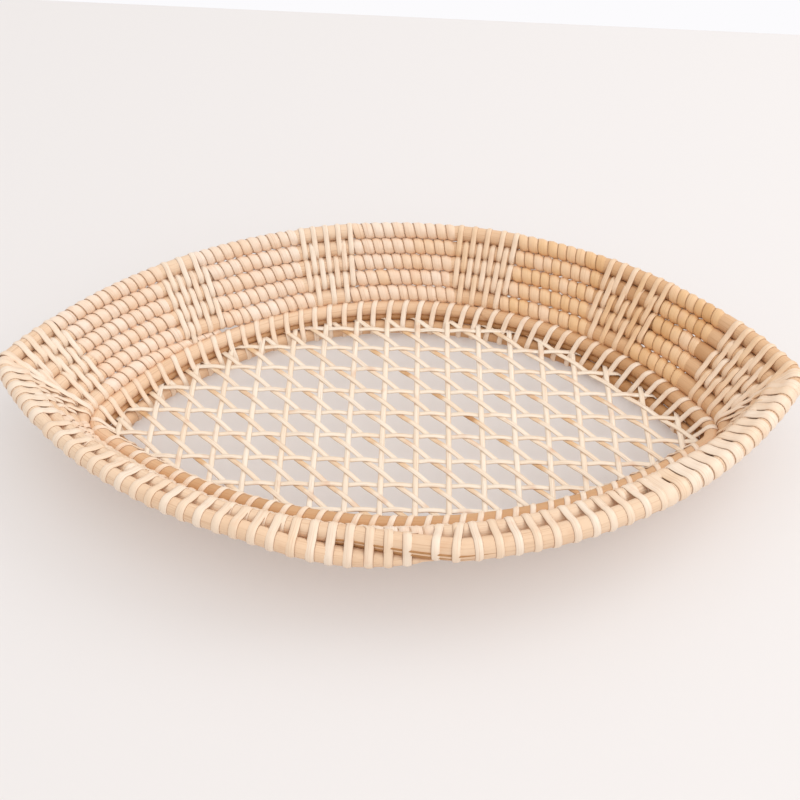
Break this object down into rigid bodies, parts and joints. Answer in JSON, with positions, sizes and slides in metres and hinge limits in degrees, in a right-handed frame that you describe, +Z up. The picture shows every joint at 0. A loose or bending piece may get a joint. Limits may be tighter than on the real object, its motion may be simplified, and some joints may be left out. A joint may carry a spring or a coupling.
{
  "type": "rattan tray",
  "caption": "Leaf-shaped rattan tray for serving or display, with an open woven cane floor and a sloping wall of coiled, peel-wrapped rod.",
  "frame": {"origin": "middle of the tray on the plane that its foot ring stands on", "axes": "+X along the tray from tip to tip, +Y towards the back side wall, +Z up out of the hollow"},
  "size_m": [0.3874, 0.229, 0.0482],
  "materials": {
    "bare_rod": "bare peeled rattan rod, satin",
    "wrapped_rod": "rattan rod wound all over with natural peel strip, satin",
    "cane_strand": "split cane, smooth outer skin, satin"
  },
  "bodies": {
    "root": {"clamp_ring": "bare_rod", "cross_strand_01": "cane_strand", "cross_strand_02": "cane_strand", "cross_strand_03": "cane_strand", "cross_strand_04": "cane_strand", "cross_strand_05": "cane_strand", "cross_strand_06": "cane_strand", "cross_strand_07": "cane_strand", "cross_strand_08": "cane_strand", "cross_strand_09": "cane_strand", "cross_strand_10": "cane_strand", "cross_strand_11": "cane_strand", "cross_strand_12": "cane_strand", "cross_strand_13": "cane_strand", "cross_strand_14": "cane_strand", "cross_strand_15": "cane_strand", "cross_strand_16": "cane_strand", "cross_strand_17": "cane_strand", "cross_strand_18": "cane_strand", "foot_ring": "bare_rod", "long_strand_01": "cane_strand", "long_strand_02": "cane_strand", "long_strand_03": "cane_strand", "long_strand_04": "cane_strand", "long_strand_05": "cane_strand", "long_strand_06": "cane_strand", "long_strand_07": "cane_strand", "long_strand_08": "cane_strand", "long_strand_09": "cane_strand", "slant_strand_01": "cane_strand", "slant_strand_02": "cane_strand", "slant_strand_03": "cane_strand", "slant_strand_04": "cane_strand", "slant_strand_05": "cane_strand", "slant_strand_06": "cane_strand", "slant_strand_07": "cane_strand", "slant_strand_08": "cane_strand", "slant_strand_09": "cane_strand", "slant_strand_10": "cane_strand", "slant_strand_11": "cane_strand", "slant_strand_12": "cane_strand", "slant_strand_13": "cane_strand", "slant_strand_14": "cane_strand", "slant_strand_15": "cane_strand", "slant_strand_16": "cane_strand", "slant_strand_17": "cane_strand", "slant_strand_18": "cane_strand", "wall_coil": "wrapped_rod"}
  },
  "joints": []
}
